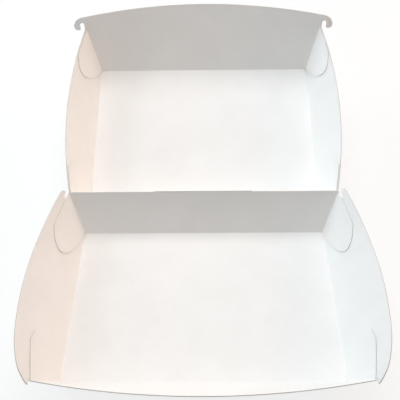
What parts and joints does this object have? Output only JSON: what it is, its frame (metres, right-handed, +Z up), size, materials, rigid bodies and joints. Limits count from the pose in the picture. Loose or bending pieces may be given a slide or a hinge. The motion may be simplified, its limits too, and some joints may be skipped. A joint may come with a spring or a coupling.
{
  "type": "burger box",
  "caption": "Open takeaway box of folded white paperboard: shallow flared tray and a deeper hinged lid with a locking flap.",
  "frame": {"origin": "centre of the tray's flat underside, on the surface the box stands on", "axes": "+Z up out of the tray's mouth, +X along the lid's crease to the right, +Y back towards the lid, -Y towards the tray's front edge"},
  "size_m": [0.2052, 0.2893, 0.0825],
  "materials": {
    "white_board": "matt white, smooth, with a faint fibre grain, soft creases and pale cut edges"
  },
  "bodies": {
    "tray": {"tray": "white_board"},
    "lid": {"lid": "white_board"}
  },
  "joints": [
    {"name": "lid_crease", "type": "hinge", "parent": "tray", "child": "lid", "pos_m": [0, 0.068, 0.02795], "axis": [1, 0, 0], "range_deg": [0, 162.1]}
  ]
}
